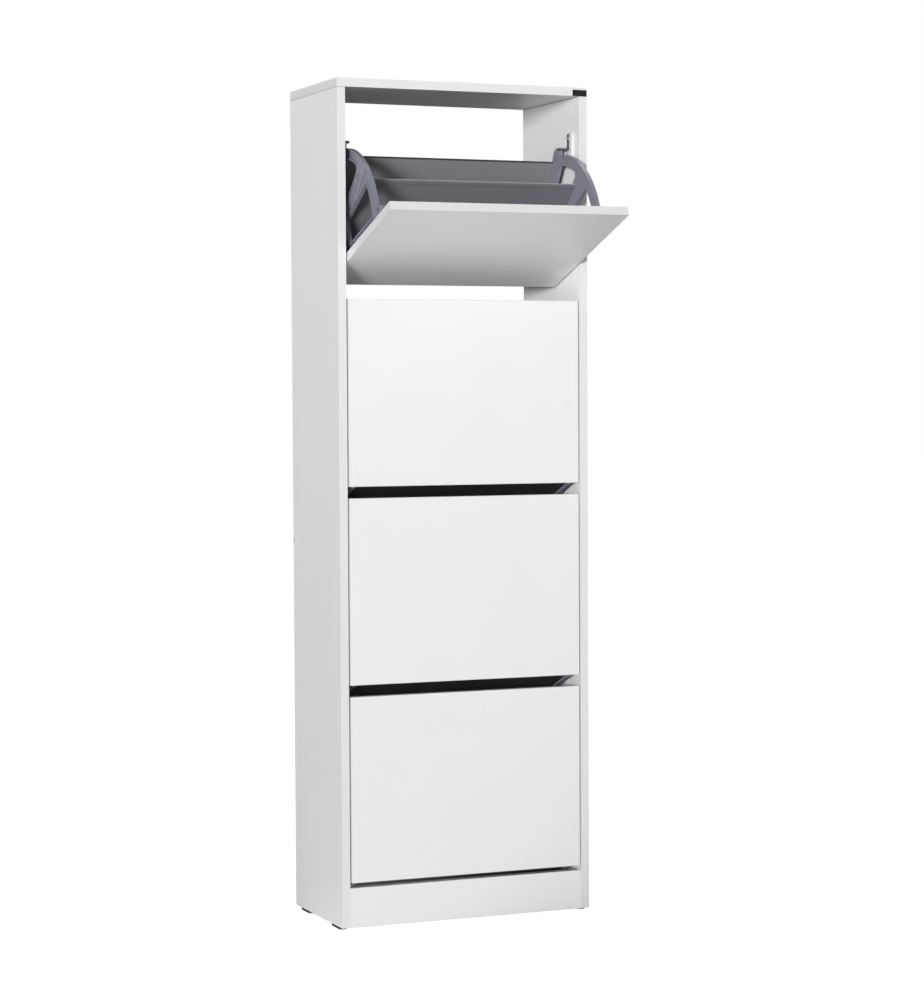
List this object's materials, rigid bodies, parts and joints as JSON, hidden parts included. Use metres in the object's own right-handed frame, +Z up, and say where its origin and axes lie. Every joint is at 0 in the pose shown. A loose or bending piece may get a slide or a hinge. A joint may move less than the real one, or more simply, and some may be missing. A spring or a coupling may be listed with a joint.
{
  "type": "shoe cabinet",
  "caption": "Tall narrow shoe cabinet in white board with tilting flap doors; each flap carries a grey plastic bin with a front and a rear row for shoes.",
  "frame": {"origin": "on the floor, in the middle of the ground that the cabinet covers with its top flap open", "axes": "+Z up, +X to the right seen from the front, +Y to the back"},
  "size_m": [0.502, 0.4748, 1.557],
  "materials": {
    "carcass_board": "white melamine-faced particle board, fine satin grain, white edge band",
    "door_board": "white melamine-faced particle board, satin, white edge band",
    "flank_plastic": "mid grey moulded plastic, fine texture",
    "sheet_plastic": "dark grey plastic sheet, satin gloss",
    "floor_plastic": "black moulded plastic, satin",
    "clip_plastic": "dark grey moulded plastic",
    "white_plastic": "white moulded plastic",
    "bush_plastic": "natural white nylon",
    "pin_steel": "turned steel",
    "screw_steel": "zinc-plated steel",
    "cam_zinc": "die-cast zinc",
    "dowel_beech": "fluted beech",
    "foot_plastic": "black moulded plastic",
    "badge_plate": "blank black plate"
  },
  "bodies": {
    "carcass": {"left_side_panel": "carcass_board", "right_side_panel": "carcass_board", "top_panel": "carcass_board", "plinth_panel": "carcass_board", "middle_back_rail": "carcass_board", "lower_back_rail": "carcass_board", "glide_feet": "foot_plastic", "badge_plate": "badge_plate", "connector_screws": "screw_steel", "screw_caps": "white_plastic", "cam_locks": "cam_zinc", "cam_bolts": "screw_steel", "wooden_dowels": "dowel_beech", "left_pivot_bushes": "bush_plastic", "left_stop_clips": "clip_plastic", "left_stop_base_1": "white_plastic", "left_stop_base_2": "white_plastic", "left_stop_base_3": "white_plastic", "left_stop_base_4": "white_plastic", "right_pivot_bushes": "bush_plastic", "right_stop_clips": "clip_plastic", "right_stop_base_1": "white_plastic", "right_stop_base_2": "white_plastic", "right_stop_base_3": "white_plastic", "right_stop_base_4": "white_plastic", "stop_bracket_screws": "screw_steel"},
    "flap_1": {"door_panel_1": "door_board", "left_flank_1": "flank_plastic", "right_flank_1": "flank_plastic", "rear_sheet_1": "sheet_plastic", "divider_sheet_1": "sheet_plastic", "floor_sheet_1": "floor_plastic", "pivot_pins_1": "pin_steel", "flank_screws_1": "screw_steel"},
    "flap_2": {"door_panel_2": "door_board", "left_flank_2": "flank_plastic", "right_flank_2": "flank_plastic", "rear_sheet_2": "sheet_plastic", "divider_sheet_2": "sheet_plastic", "floor_sheet_2": "floor_plastic", "pivot_pins_2": "pin_steel", "flank_screws_2": "screw_steel"},
    "flap_3": {"door_panel_3": "door_board", "left_flank_3": "flank_plastic", "right_flank_3": "flank_plastic", "rear_sheet_3": "sheet_plastic", "divider_sheet_3": "sheet_plastic", "floor_sheet_3": "floor_plastic", "pivot_pins_3": "pin_steel", "flank_screws_3": "screw_steel"},
    "flap_4": {"door_panel_4": "door_board", "left_flank_4": "flank_plastic", "right_flank_4": "flank_plastic", "rear_sheet_4": "sheet_plastic", "divider_sheet_4": "sheet_plastic", "floor_sheet_4": "floor_plastic", "pivot_pins_4": "pin_steel", "flank_screws_4": "screw_steel"}
  },
  "joints": [
    {"name": "flap_1_tilt", "type": "hinge", "parent": "carcass", "child": "flap_1", "pos_m": [0, 0.02606, 1.2571], "axis": [1, 0, 0], "range_deg": [-70, 0]},
    {"name": "flap_2_tilt", "type": "hinge", "parent": "carcass", "child": "flap_2", "pos_m": [0, 0.02606, 0.8933], "axis": [1, 0, 0], "range_deg": [0, 70]},
    {"name": "flap_3_tilt", "type": "hinge", "parent": "carcass", "child": "flap_3", "pos_m": [0, 0.02606, 0.5295], "axis": [1, 0, 0], "range_deg": [0, 70]},
    {"name": "flap_4_tilt", "type": "hinge", "parent": "carcass", "child": "flap_4", "pos_m": [0, 0.02606, 0.1657], "axis": [1, 0, 0], "range_deg": [0, 70]}
  ]
}
